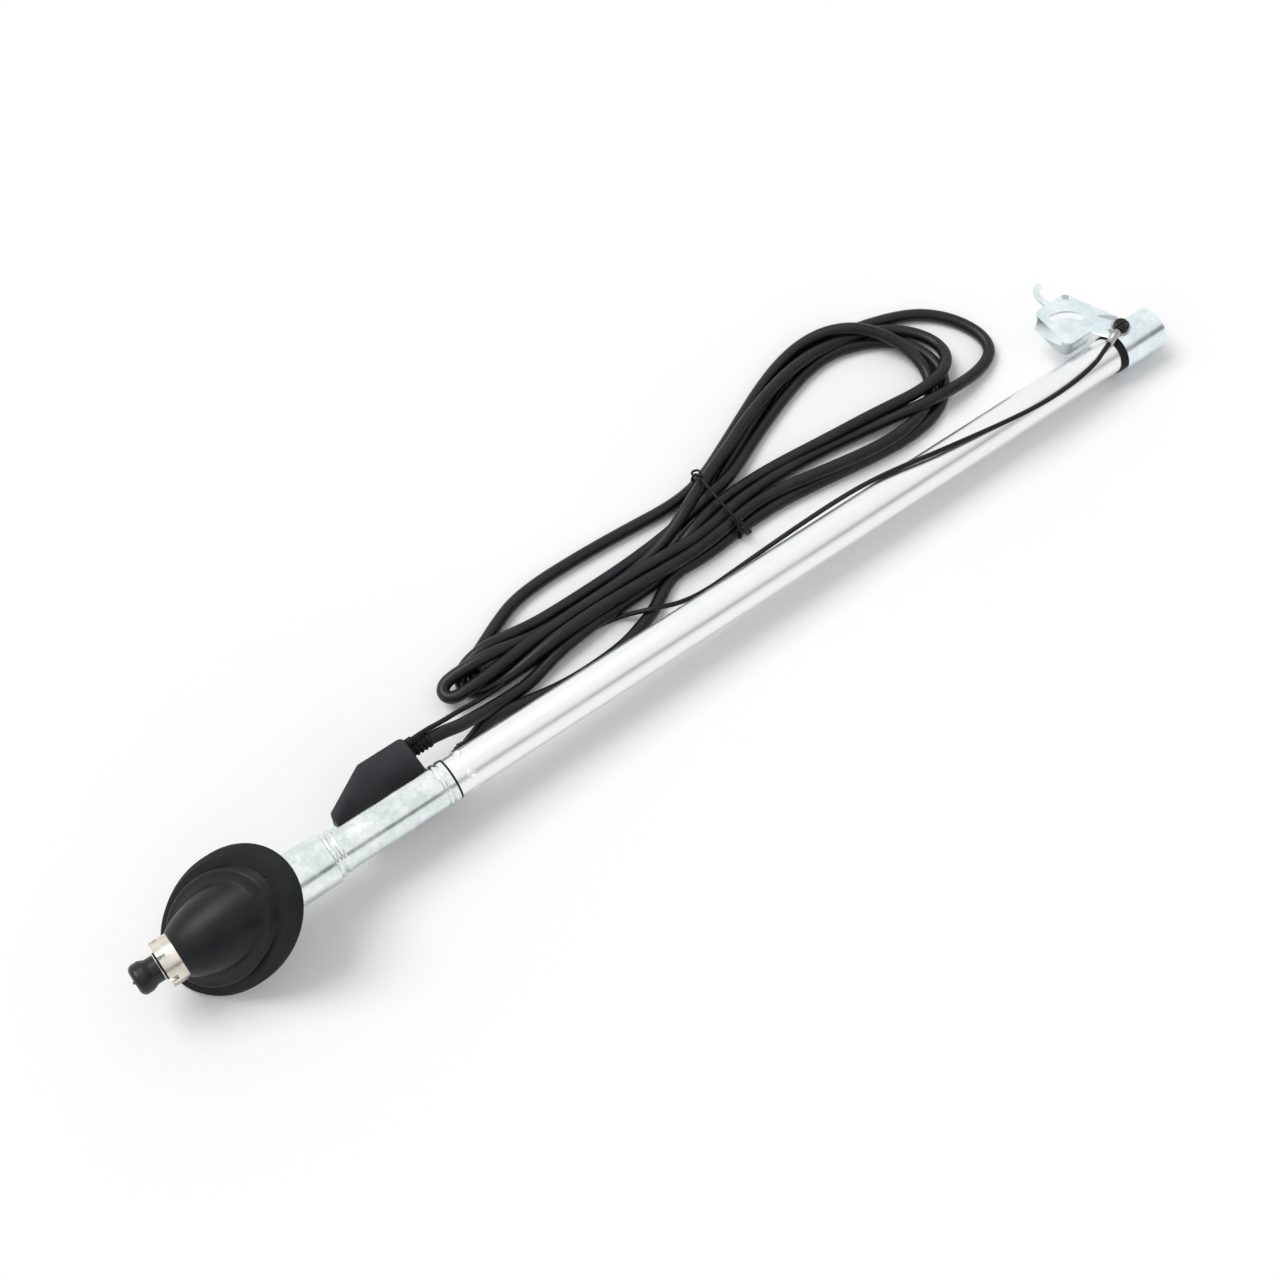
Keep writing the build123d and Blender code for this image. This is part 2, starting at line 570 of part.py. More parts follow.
def bracket_plate():
    """Flat outline of the plate, tangent to the top of the band."""
    root = BAND_X + BAND_LENGTH / 4
    corners = [(PLATE_FRONT_X, SKIRT_Y), (PLATE_FRONT_X, PLATE_BACK_Y), (PLATE_CORNER_X, PLATE_BACK_Y),
               (root + 2, SKIRT_Y), (root + 3, 0), (BAND_X, 0), (SKIRT_END_X, SKIRT_Y)]
    plate = make_face(Polyline(*corners, close=True))
    plate = fillet([v for v in plate.vertices() if v.Y > SKIRT_Y + 1], PLATE_ROUND)
    hook = trace(Spline(*[(BAND_X + x, y) for x, y in HOOK_PATH]), HOOK_WIDTH)
    start, end = math.radians(ARC_SLOT_START), math.radians(ARC_SLOT_START + ARC_SLOT_SWEEP)
    middle = (start + end) / 2
    on_arc = [(ARC_SLOT_X + ARC_SLOT_RADIUS * math.cos(a), ARC_SLOT_Y + ARC_SLOT_RADIUS * math.sin(a))
              for a in (start, middle, end)]
    slot = SlotArc(ThreePointArc(*on_arc), ARC_SLOT_WIDTH)
    return plate + hook - slot


def lower_bracket():
    """One sheet: a band round the tube, a flat plate with a slot, a hook and a skirt."""
    band = round_bar(BAND_X, BAND_X + BAND_LENGTH, BAND_OUTER, BAND_INNER)
    plate = extrude(Plane.XY.offset(BAND_OUTER - SHEET) * bracket_plate(), SHEET)
    bend = FilletPolyline((SKIRT_END_X, SKIRT_Y + SHEET / 2), (PLATE_FRONT_X + SHEET / 2, SKIRT_Y + SHEET / 2),
                          (PLATE_FRONT_X + SHEET / 2, PLATE_BACK_Y - PLATE_ROUND), radius=SKIRT_ROUND)
    skirt = extrude(Plane.XY.offset(BAND_OUTER - SKIRT_HEIGHT) * trace(bend, SHEET), SKIRT_HEIGHT)
    corner = Pos(PLATE_FRONT_X, SKIRT_Y, 0) * Box(2 * SKIRT_ROUND, 2 * SKIRT_ROUND, 60)
    rounding = Pos(PLATE_FRONT_X + SKIRT_ROUND, SKIRT_Y + SKIRT_ROUND, 0) * Cylinder(SKIRT_ROUND, 60)
    corner_cut = (corner - rounding) & Pos(PLATE_FRONT_X + SKIRT_ROUND / 2, SKIRT_Y + SKIRT_ROUND / 2, 0) * Box(
        SKIRT_ROUND, SKIRT_ROUND, 60)
    bore = round_bar(BAND_X - 30, BAND_X + BAND_LENGTH, BAND_INNER)
    return band + ((plate - corner_cut) + skirt - bore) - screw_hole(BAND_OUTER + 1)


def ground_screw():
    """Self-cutting screw through terminal, bracket and tube wall."""
    seat = BAND_OUTER + TERMINAL_SHEET
    shank = Pos(SCREW_X, SCREW_Y, seat) * Cylinder(
        SCREW_RADIUS, SCREW_REACH + TERMINAL_SHEET, align=(Align.CENTER, Align.CENTER, Align.MAX))
    head = Pos(SCREW_X, SCREW_Y, seat) * Cylinder(
        SCREW_HEAD_RADIUS, SCREW_HEAD, align=(Align.CENTER, Align.CENTER, Align.MIN))
    head = fillet(head.edges().group_by(Axis.Z)[-1], SCREW_HEAD / 2)
    slot = Pos(SCREW_X, SCREW_Y, seat + SCREW_HEAD) * Box(2 * SCREW_HEAD_RADIUS, 0.8, SCREW_HEAD)
    return head - slot + shank


def terminal_axis():
    """Where the barrel of the terminal points, and the height of its middle."""
    turn = math.radians(TERMINAL_TURN)
    return math.cos(turn), math.sin(turn), BAND_OUTER + BARREL_RADIUS


def ring_terminal():
    """Stamped ring with a crimped barrel."""
    along_x, along_y, height = terminal_axis()
    ring = Circle(TERMINAL_RADIUS) - Circle(SCREW_RADIUS + SCREW_GAP)
    neck = Pos(BARREL_START / 2, 0) * Rectangle(BARREL_START + 1.0, BARREL_RADIUS * 2)
    flat = ring + (neck - Circle(TERMINAL_RADIUS - 0.5))
    flat = Pos(SCREW_X, SCREW_Y, BAND_OUTER) * Rot(Z=TERMINAL_TURN) * extrude(flat, TERMINAL_SHEET)
    start = Vector(SCREW_X + BARREL_START * along_x, SCREW_Y + BARREL_START * along_y, height)
    barrel = extrude(Plane(origin=start, z_dir=(along_x, along_y, 0)) * Circle(BARREL_RADIUS), BARREL_LENGTH)
    return flat + barrel


def along_barrel(distance):
    """A point in line with the barrel, this far outside its mouth."""
    along_x, along_y, height = terminal_axis()
    reach = BARREL_START + BARREL_LENGTH + distance
    return SCREW_X + reach * along_x, SCREW_Y + reach * along_y, height


# Laying the antenna on the ground

def laid_down():
    """The turn and lift that rest the pad's rim and the band on the ground."""
    drop = PAD_RADIUS * math.cos(math.radians(SLOPE_ROLL)) * math.tan(math.radians(SLANT))
    pad_x, band_x = WING_X - drop, BAND_X + BAND_LENGTH
    tilt = math.atan2(PAD_RADIUS - BAND_OUTER, band_x - pad_x)
    lift = PAD_RADIUS * math.cos(tilt) + pad_x * math.sin(tilt)
    return Pos(0, 0, lift) * Rot(Y=math.degrees(tilt))


def on_ground(point):
    """A point of the antenna where it comes to lie."""
    return tuple((laid_down() * Pos(*point)).position)


# Cords

def cord_radii(route):
    """The largest arc that each corner of a route has room for."""
    radii = []
    for before, corner, after in zip(route, route[1:], route[2:]):
        inward, outward = Vector(*corner) - Vector(*before), Vector(*after) - Vector(*corner)
        half_turn = math.radians(inward.get_angle(outward)) / 2
        radii.append(0.45 * min(inward.length, outward.length) / math.tan(half_turn))
    return radii


def swept(route, radius):
    """A round bar along straight runs and tangent arcs, square to its first run."""
    path = FilletPolyline(*route, radius=cord_radii(route))
    return sweep(Plane(origin=path @ 0, z_dir=path % 0) * Circle(radius), path=path)


def cord(name, route, radius):
    """A cord on its route, with its length, its tightest bend and its volume printed."""
    radii = cord_radii(route)
    path = FilletPolyline(*route, radius=radii)
    tube = swept(route, radius)
    print(name, "length", round(path.length, 1), "smallest radius", round(min(radii), 1),
          "volume ratio", round(tube.volume / (math.pi * radius ** 2 * path.length), 4))
    return tube


def coax_lead():
    """Coax from the gland to the hank."""
    exit_x = BOX_REAR_X + GLAND_LENGTH
    straight = [on_ground((x, GLAND_Y, GLAND_Z)) for x in (exit_x, exit_x + CORD_START)]
    return cord("coax_lead", [*straight, *COAX_ROUTE, (*COAX_ENTRY, COAX_RADIUS + 0.1)], COAX_RADIUS)


def coax_tail():
    """Coax from the hank to the plug."""
    boot_end = PLUG_SHELL_LENGTH + PLUG_BOOT_LENGTH
    straight = [tuple((plug_place() * Pos(x, 0, 0)).position) for x in (boot_end + CORD_END, boot_end)]
    return cord("coax_tail", [(*TAIL_EXIT, COAX_RADIUS + 0.1), *TAIL_ROUTE, *straight], COAX_RADIUS)


def lead_route():
    """The earth lead from the box, under the hank and over the tube to its terminal."""
    exit_x = BOX_REAR_X + GROMMET_LENGTH
    straight = [on_ground((x, GROMMET_Y, GROMMET_Z)) for x in (exit_x, exit_x + CORD_START)]
    return [*straight, *LEAD_ROUTE, on_ground(along_barrel(LEAD_END)), on_ground(along_barrel(0))]


def ground_lead():
    """Earth lead on its route."""
    return cord("ground_lead", lead_route(), LEAD_RADIUS)


def flat_loop(points):
    """A smooth closed outline on the ground."""
    return make_face(Spline(*points, periodic=True))


def coax_hank():
    """Outer shape of the folded coax, open at its loops, with room for lead, tail and tie."""
    flat = flat_loop(HANK_OUTLINE)
    for loop in (LEFT_LOOP, RIGHT_LOOP, OUTER_LOOP):
        flat -= flat_loop(loop)
    coax_room = Pos(COAX_ENTRY[0] - 50, COAX_ENTRY[1] - 22) * Rectangle(100, 50)
    tail_room = Pos(TAIL_EXIT[0] - 12, TAIL_EXIT[1] - 22) * Rectangle(24, 50)
    flat = flat - coax_room - tail_room
    hank = extrude(flat, HANK_HEIGHT)
    hank = fillet([e for e in hank.edges().group_by(Axis.Z)[-1] if e.length > 60], HANK_EDGE)
    return hank - swept(lead_route(), LEAD_RADIUS + TUNNEL_GAP) - hank_tie(TIE_GAP)


def hank_tie(extra=0.0):
    """Thin binder round the waist of the hank."""
    low, high = TIE_RADIUS, HANK_HEIGHT + TIE_RADIUS + TIE_GAP
    near, far = 27.0 - 1.5, 58.6 + 1.5
    loop = FilletPolyline((near, low), (far, low), (far, high), (near, high), radius=TIE_CORNER, close=True)
    path = Plane(origin=(TIE_X, 0, 0), x_dir=(0, 1, 0), z_dir=(1, 0, 0)) * loop
    return sweep(Plane(origin=path @ 0, z_dir=path % 0) * Circle(TIE_RADIUS + extra), path=path)


# Plug at the end of the coax

def plug_place():
    """Where the plug's mouth lies, with its cord end beside the main tube."""
    cord_end = Pos(PLUG_X, PLUG_Y, PLUG_SHELL_RADIUS) * Rot(Z=PLUG_TURN)
    return cord_end * Pos(-PLUG_BOOT_LENGTH - PLUG_SHELL_LENGTH, 0, 0)


def plug_shell():
    """Outer contact of the plug, slit so that it springs."""
    shell = round_bar(0, PLUG_SHELL_LENGTH, PLUG_SHELL_RADIUS, PLUG_SHELL_RADIUS - PLUG_SHELL_WALL)
    slit = Pos(PLUG_SLOT_LENGTH / 2, 0, PLUG_SHELL_RADIUS) * Box(PLUG_SLOT_LENGTH, PLUG_SLOT_WIDTH, 3)
    for number in range(PLUG_SHELL_SLOTS):
        shell -= Rot(X=45 + number * 360 / PLUG_SHELL_SLOTS) * slit
    return plug_place() * shell


def plug_core():
    """Insulator that holds the pin in the shell."""
    start = PLUG_SHELL_LENGTH - PLUG_CORE_LENGTH
    return plug_place() * round_bar(start, PLUG_SHELL_LENGTH, PLUG_SHELL_RADIUS - PLUG_SHELL_WALL, PLUG_PIN_RADIUS)


def plug_pin():
    """Centre pin with a rounded nose."""
    pin = round_bar(-PLUG_PIN_LENGTH, PLUG_SHELL_LENGTH, PLUG_PIN_RADIUS)
    return plug_place() * fillet(pin.edges().group_by(Axis.X)[0], PLUG_PIN_RADIUS * 0.7)


def plug_boot():
    """Tapered moulding between the shell and the coax."""
    start, end = PLUG_SHELL_LENGTH, PLUG_SHELL_LENGTH + PLUG_BOOT_LENGTH
    return plug_place() * turned([(start, 0), (start, PLUG_COLLAR_RADIUS), (start + 6, PLUG_COLLAR_RADIUS),
                                  (start + 8, PLUG_COLLAR_RADIUS - 0.7), (end, PLUG_BOOT_TIP), (end, 0)])


def build():
    """Every piece by name, where it lies."""
    lay = laid_down()
    upright = {
        "tip_knob": tip_knob(), "mast_rod": mast_rod(), "mast_foot": mast_foot(),
        "guide_bush": guide_bush(), "castle_nut": castle_nut(), "bell_cap": bell_cap(),
        "sealing_pad": sealing_pad(), "head_stem": head_stem(), "clamp_collar": clamp_collar(),
        "head_sleeve": head_sleeve(), "contact_holder": contact_holder(), "contact_spring": contact_spring(),
        "joint_insulator": joint_insulator(), "junction_box": junction_box(), "coax_gland": coax_gland(),
        "lead_grommet": lead_grommet(), "main_tube": main_tube(), "tube_liner": tube_liner(),
        "tube_end_plug": tube_end_plug(), "clamp_liner": clamp_liner(), "lower_bracket": lower_bracket(),
        "ground_screw": ground_screw(), "ring_terminal": ring_terminal()}
    for number in range(3):
        upright[f"mast_section_{number + 1}"] = mast_section(number)
    pieces = {name: lay * solid for name, solid in upright.items()}
    boxes = [solid.bounding_box() for solid in pieces.values()]
    middle_x = (min(b.min.X for b in boxes) + max(b.max.X for b in boxes)) / 2
    middle_y = (min(b.min.Y for b in boxes) + max(b.max.Y for b in boxes)) / 2
    middle = Pos(-middle_x, -middle_y, 0)
    pieces.update(coax_lead=coax_lead(), coax_tail=coax_tail(), ground_lead=ground_lead(),
                  coax_hank=coax_hank(), hank_tie=hank_tie(), plug_shell=plug_shell(),
                  plug_core=plug_core(), plug_pin=plug_pin(), plug_boot=plug_boot())
    return {name: middle * solid for name, solid in pieces.items()}


if __name__ == "__main__":
    os.makedirs("parts", exist_ok=True)
    for name, solid in build().items():
        export_step(solid, f"parts/{name}.step")
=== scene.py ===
import math

import bmesh
import bpy
from mathutils import Matrix, Vector


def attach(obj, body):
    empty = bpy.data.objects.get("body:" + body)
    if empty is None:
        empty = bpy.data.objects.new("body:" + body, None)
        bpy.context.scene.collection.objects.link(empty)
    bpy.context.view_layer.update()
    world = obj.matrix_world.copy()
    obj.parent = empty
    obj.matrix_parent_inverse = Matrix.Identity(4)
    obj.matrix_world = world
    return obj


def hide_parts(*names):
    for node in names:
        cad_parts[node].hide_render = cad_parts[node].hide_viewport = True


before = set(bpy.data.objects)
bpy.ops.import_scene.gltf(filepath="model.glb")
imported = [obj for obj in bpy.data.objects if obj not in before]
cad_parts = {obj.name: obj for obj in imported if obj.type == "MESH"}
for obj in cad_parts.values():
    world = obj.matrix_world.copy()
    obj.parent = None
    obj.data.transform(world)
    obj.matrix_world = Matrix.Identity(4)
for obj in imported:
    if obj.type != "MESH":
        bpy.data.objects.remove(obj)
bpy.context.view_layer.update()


# The white table that the antenna lies on, under broad window light from the left and a
# little behind, with a dark strip above the near horizon that the bright metal mirrors.

class Wire:
    """A number socket in a node tree: + - * on it add Math nodes."""

    def __init__(self, tree, socket):
        self.tree = tree
        self.socket = socket

    def math(self, operation, first, second):
        node = self.tree.nodes.new("ShaderNodeMath")
        node.operation = operation
        for place, value in zip(node.inputs, (first, second)):
            if isinstance(value, Wire):
                self.tree.links.new(value.socket, place)
            else:
                place.default_value = value
        return Wire(self.tree, node.outputs[0])

    def __add__(self, other):
        return self.math("ADD", self, other)

    def __radd__(self, other):
        return self.math("ADD", other, self)

    def __sub__(self, other):
        return self.math("SUBTRACT", self, other)

    def __rsub__(self, other):
        return self.math("SUBTRACT", other, self)

    def __mul__(self, other):
        return self.math("MULTIPLY", self, other)

    def __rmul__(self, other):
        return self.math("MULTIPLY", other, self)

    def over(self, limit):
        return self.math("GREATER_THAN", self, limit)

    def at_most(self, limit):
        return self.math("MINIMUM", self, limit)


class Finish:
    """A node tree, with one method that adds any node and one that feeds a shader."""

    def __init__(self, tree):
        self.tree = tree

    def node(self, kind, settings=None, output=0, **inputs):
        """Adds a node, sets it up, fills its sockets and gives one of its outputs.

        A socket goes by its name, or by its number as i0, i1 and so on.
        """
        node = self.tree.nodes.new("ShaderNode" + kind)
        for name, value in (settings or {}).items():
            if name == "stops":
                ramp = node.color_ramp
                while len(ramp.elements) < len(value):
                    ramp.elements.new(0.5)
                for stop, (place, level) in zip(ramp.elements, value):
                    stop.position = place
                    stop.color = (level, level, level, 1)
            else:
                setattr(node, name, value)
        for name, value in inputs.items():
            place = node.inputs[int(name[1:]) if name[1:].isdigit() else name.replace("_", " ")]
            if isinstance(value, Wire):
                self.tree.links.new(value.socket, place)
            else:
                place.default_value = value
        return Wire(self.tree, node.outputs[output])

    def mixed(self, amount, dark, pale):
        """A colour between two colours."""
        return self.node("Mix", {"data_type": "RGBA"}, 2, i0=amount, i6=dark, i7=pale)

    def shade(self, sockets, **values):
        """Links wires to sockets of the shader by name, and sets others to plain values."""
        shader = self.tree.nodes["Principled BSDF"]
        for name, wire in sockets.items():
            self.tree.links.new(wire.socket, shader.inputs[name])
        for name, value in values.items():
            shader.inputs[name.replace("_", " ")].default_value = value


def rgb(red, green, blue):
    """A colour as it is seen on a screen, 0 to 255, in the shader's own scale."""
    return tuple((level / 255) ** 2.2 for level in (red, green, blue)) + (1,)


BACKDROP = 0.985
AMBIENT = 0.62
STRIP_DEPTH = 0.7
STRIP_HEIGHTS = [(0.30, 0.0), (0.40, 1.0), (0.55, 1.0), (0.68, 0.0)]
STRIP_SIDE = 0.2
world = bpy.data.worlds.new("window_light")
bpy.context.scene.world = world
world.use_nodes = True
sky = Finish(world.node_tree)
camera_ray, glossy_ray, through_ray = (
    sky.node("LightPath", output=name) for name in ("Is Camera Ray", "Is Glossy Ray", "Is Transmission Ray"))
seen = (camera_ray + glossy_ray + through_ray).at_most(1.0)
direction = sky.node("TexCoord", output="Generated")
height = sky.node("SeparateXYZ", output="Z", i0=direction)
near_side = sky.node("SeparateXYZ", output="Y", i0=direction) * -1.0
strip = sky.node("ValToRGB", {"stops": STRIP_HEIGHTS}, i0=height)
strip_here = strip * near_side.over(STRIP_SIDE) * glossy_ray
level = seen * (BACKDROP - AMBIENT) + AMBIENT - strip_here * STRIP_DEPTH
backdrop = sky.node("Background", Color=(1.0, 1.0, 1.0, 1), Strength=level)
world.node_tree.links.new(backdrop.socket, world.node_tree.nodes["World Output"].inputs["Surface"])

TABLE_SIZE = 6.0
PAPER_DARK, PAPER_PALE = (0.975, 0.975, 0.975, 1), (0.985, 0.985, 0.985, 1)
bpy.ops.mesh.primitive_plane_add(size=TABLE_SIZE)
table = bpy.context.object
table.name = "table_top"
table_paint = bpy.data.materials.new("table_white")
table_paint.use_nodes = True
paint = Finish(table_paint.node_tree)
paper = paint.node("TexNoise", Scale=40.0, Detail=4.0)
paint.shade({"Base Color": paint.mixed(paper, PAPER_DARK, PAPER_PALE)}, Roughness=0.9, Specular_IOR_Level=0.0)
table.data.materials.append(table_paint)

WINDOW_STRENGTH = 1.5
WINDOW_SPREAD = 0.6
WINDOW_FROM = (-0.36, 0.52, 1.0)
window = bpy.data.lights.new("window", "SUN")
window.energy = WINDOW_STRENGTH
window.angle = WINDOW_SPREAD
window_lamp = bpy.data.objects.new("window", window)
window_lamp.rotation_euler = Vector(WINDOW_FROM).to_track_quat("Z", "Y").to_euler()
bpy.context.scene.collection.objects.link(window_lamp)

LENS, SENSOR = 52.03, 36.0
CAMERA_PLACE = (-0.22133, -0.2702, 0.6492)
CAMERA_TILT, CAMERA_TURN = 27.83, -36.68
view = bpy.data.cameras.new("photo_view")
view.lens = LENS
view.sensor_width = SENSOR
camera = bpy.data.objects.new("photo_view", view)
camera.location = CAMERA_PLACE
camera.rotation_euler = (math.radians(CAMERA_TILT), 0, math.radians(CAMERA_TURN))
bpy.context.scene.collection.objects.link(camera)
bpy.context.scene.camera = camera
bpy.context.scene.view_settings.view_transform = "Standard"


# The coax: one black PVC cable from the box at the head, out to the hank's right loop and
# back four times, the last time along the tube to the plug. It is folded by hand, so the
# strands lie a little apart, cross at the waist and fan out in the loops.

PLASTIC_SHEEN = 0.26


def cast(name, dark, pale, blotch, grain, roughness, bump, **shader_values):
    """A finish with soft blotches of colour, a fine grain and uneven gloss."""
    material = bpy.data.materials.new(name)
    material.use_nodes = True
    finish = Finish(material.node_tree)
    place = finish.node("TexCoord", output="Object")
    cloud = finish.node("TexNoise", Vector=place, Scale=blotch, Detail=3.0)
    fine = finish.node("TexNoise", Vector=place, Scale=grain, Detail=2.0)
    spread = finish.node("ValToRGB", {"stops": [(0.36, 0.0), (0.64, 1.0)]}, i0=cloud)
    low, high = roughness
    gloss = (cloud * 0.6 + fine * 0.4) * (high - low) + low
    relief = finish.node("Bump", Strength=1.0, Distance=bump, Height=fine)
    if "Metallic" not in shader_values:
        shader_values.setdefault("Specular_IOR_Level", PLASTIC_SHEEN)
    finish.shade({"Base Color": finish.mixed(spread, dark, pale), "Roughness": gloss, "Normal": relief},
                 **shader_values)
    return material


FRONT_END = (-113.733, -8.9)


def on_floor(points):
    """Points in millimetres from the floor below the tube's front end, as places in metres."""
    return [((x + FRONT_END[0]) / 1000, (y + FRONT_END[1]) / 1000, z / 1000) for x, y, z in points]


LINE_STEPS, ROUND_STEPS = 8, 8


def cable(name, points, diameter, material):
    """A round cable on one smooth line through the pull of its points."""
    line = bpy.data.curves.new(name, "CURVE")
    line.dimensions = "3D"
    spline = line.splines.new("NURBS")
    spline.points.add(len(points) - 1)
    for point, place in zip(spline.points, points):
        point.co = (*place, 1)
    spline.order_u = 3
    spline.use_endpoint_u = True
    spline.resolution_u = LINE_STEPS
    line.bevel_depth = diameter / 2
    line.bevel_resolution = ROUND_STEPS
    line.use_fill_caps = True
    line.materials.append(material)
    piece = bpy.data.objects.new(name, line)
    bpy.context.scene.collection.objects.link(piece)
    return piece


COAX_DIAMETER = 0.0052
pvc = cast("coax_pvc", rgb(17, 18, 20), rgb(28, 29, 32), blotch=90, grain=2600, roughness=(0.3, 0.42),
           bump=0.00004, Specular_IOR_Level=0.34)
out_of_box = [(2.5, 18.4, 20.6), (8.5, 18.0, 19.9), (15, 18.2, 16), (20.5, 19.2, 12.8), (27, 20.4, 9),
              (33.5, 21.8, 5.4), (41, 22.4, 3.4), (50, 22.8, 2.8)]
first_out = [(58, 24.6, 3.4), (67, 26.4, 4.6), (77, 27.6, 4.8), (88, 28.6, 4.6), (100, 28.8, 3.2),
             (112, 29.4, 2.7), (124, 30.8, 2.7), (134, 33.6, 2.7), (144, 38.2, 2.7), (154, 44.6, 2.7),
             (163, 50.8, 2.7), (173, 56, 2.7), (184.7, 61.6, 2.7), (201.9, 70, 2.7), (216.4, 76, 2.7),
             (229.8, 80, 2.7), (243.1, 81.5, 2.7), (255.5, 80.4, 2.7), (267, 77.8, 2.7),
             (277.9, 74.4, 2.7), (287.7, 69.8, 2.7), (295, 63.6, 2.7), (300.3, 55.9, 2.7),
             (303.3, 47.9, 2.7), (303.6, 40.9, 2.9), (301, 35, 3), (295, 31.4, 3.4), (286, 29.2, 4.5),
             (275.7, 28.2, 6.6), (265.3, 28.2, 8), (255.2, 29.3, 7.8), (246, 32, 5.8), (235, 34.6, 4),
             (223, 37, 2.9), (210, 38.8, 2.7), (196, 39.8, 3), (183, 39.6, 4.4), (171, 38.6, 6.2),
             (160, 37, 7.6)]
first_back = [(149, 34.8, 8), (138, 33.8, 8.4), (126, 34.8, 8), (112, 35.6, 7.6), (98, 35.6, 7.4),
              (84, 35.6, 7.3), (70, 35.4, 7.4), (57, 34.8, 7.8), (46, 34, 8.2), (36, 33, 8),
              (28, 32.8, 7.6), (22.8, 33, 7), (20.2, 35.2, 6.6), (20.2, 38.4, 6.4), (22.8, 40.6, 6.8),
              (28, 40.8, 8), (37, 39.8, 9.8), (46, 39, 9.8), (56, 38.4, 6.2), (66, 38, 3.6),
              (78, 38, 2.7), (90, 38, 2.7), (102, 38.2, 2.7), (113, 38.8, 3), (124, 40.2, 4.4),
              (135, 42.8, 6.8), (146, 47.2, 9.2), (157, 52.3, 8.8)]
second_out = [(168, 57, 8.2), (180, 61.8, 7.8), (191, 66.8, 7.6), (207, 72.4, 7.4), (222, 76.2, 7.2),
              (237, 77.8, 6.6), (250, 77, 5.4), (261, 74.9, 4.2), (269.7, 71.6, 3.6), (276.7, 66.4, 3.4),
              (282, 59.5, 3.6), (284.6, 51.9, 4.2), (283.3, 44.3, 5.8), (278, 38.4, 7.6),
              (268.6, 35, 8.8), (257.9, 34.8, 8.4), (247, 36.6, 7.4), (234.5, 38.6, 6.4),
              (221, 40.2, 5.4), (207, 42, 4.4), (194, 43.8, 3.4), (182, 44.8, 2.8), (171, 44.4, 3.4),
              (160, 42.6, 6.4)]
second_back = [(149, 40, 7.8), (140, 37.6, 7), (131, 35.4, 4), (122, 34.2, 2.8), (112, 33.6, 2.7),
               (98, 33.4, 2.7), (84, 33.2, 2.7), (70, 33.2, 2.7), (60, 33.2, 2.7), (50, 33.2, 2.7),
               (42.5, 33.2, 2.7), (37.2, 35, 2.7), (34.8, 38.4, 2.7), (35.8, 42.2, 2.7), (40, 45.2, 2.7),
               (47, 48.4, 2.7), (54.5, 52, 2.7), (65, 56.2, 2.7), (78, 57.8, 2.7), (92.6, 57.8, 2.7),
               (109, 57.2, 2.7), (126, 56, 2.7), (141, 54.8, 2.7), (153, 55.4, 2.7)]
third_out = [(165, 58.6, 2.7), (180, 65.4, 2.7), (195, 72.4, 2.7), (211, 79.6, 3), (226, 84.2, 4),
             (238, 85, 6), (248.4, 82.6, 8), (257, 77.4, 9.4), (263, 71.6, 9), (267.4, 65, 8.2),
             (270.6, 57.6, 7), (272, 50.4, 5.4), (271.8, 43.3, 4), (268.7, 36.8, 3.2),
             (263.1, 31, 3.6), (255.1, 27, 5), (246, 24.6, 6.6), (235.8, 23.8, 7.2), (224, 24.8, 7.3),
             (211, 27, 7.2), (198, 29.8, 6.6), (185, 32.6, 5.8), (173, 33.8, 5.4), (162, 32.8, 6.4)]
third_back = [(151, 30.8, 7.4), (139, 29.6, 7.6), (126, 29.8, 7.6), (112, 30.4, 7.8), (98, 30.8, 8.2),
              (84, 30.8, 8.8), (70, 30.4, 8.6), (58, 29.8, 7), (48, 29.6, 4.4), (40, 30.2, 3),
              (32.4, 31.4, 2.8), (28.6, 34.8, 2.7), (28.6, 39.4, 3), (32.2, 42.8, 4.6),
              (39, 43.8, 7.2), (47, 43.8, 7.8), (57, 43.2, 5.6), (68, 42.8, 3.4), (82, 42.8, 2.7),
              (96, 42.8, 2.7), (111, 43, 2.7), (125, 43.8, 2.8), (137, 45, 3), (147.5, 46, 5.6)]
last_out = [(157, 47.4, 7.6), (167, 49.2, 6.4), (177, 53.4, 3.6), (191, 60, 2.7), (206, 66, 2.7),
            (220, 71, 2.7), (234, 74.6, 2.7), (247, 75, 2.7), (257.7, 71.8, 2.7), (266.4, 67.4, 2.7),
            (273.5, 61.2, 2.8), (277.1, 53.6, 2.8), (278.4, 46.1, 2.7), (277, 38.6, 2.7),
            (272.6, 32, 2.7), (265.7, 26.6, 2.7), (257, 23.4, 2.7), (246, 22.2, 2.7), (234, 22.7, 2.7),
            (221, 24.3, 2.7), (208, 26.2, 2.7), (195, 28, 2.7), (182, 29.4, 2.7), (169, 29.6, 2.7)]
back_to_plug = [(157, 29, 2.7), (146, 27.8, 2.7), (136, 27.8, 2.7), (128, 28.4, 2.7), (121, 26.8, 2.7),
                (114.6, 23, 2.7), (108, 19.6, 2.7), (100.5, 17, 2.7), (91, 14.4, 2.7), (80, 13.5, 2.7),
                (68, 13.4, 2.7), (57, 14.4, 2.7), (47, 16.3, 2.7), (37, 18.2, 2.9), (28.5, 18.9, 3.7),
                (21.5, 16.9, 4.4), (15, 14.3, 4.5)]
coax_route = (out_of_box + first_out + first_back + second_out + second_back + third_out
              + third_back + last_out + back_to_plug)
coax = cable("coax_cable", on_floor(coax_route), COAX_DIAMETER, pvc)


# The thin earth lead: a soft black wire from the box, beside and under the hank, up over
# the tube and down its front side into the crimped ring at the bracket's screw.

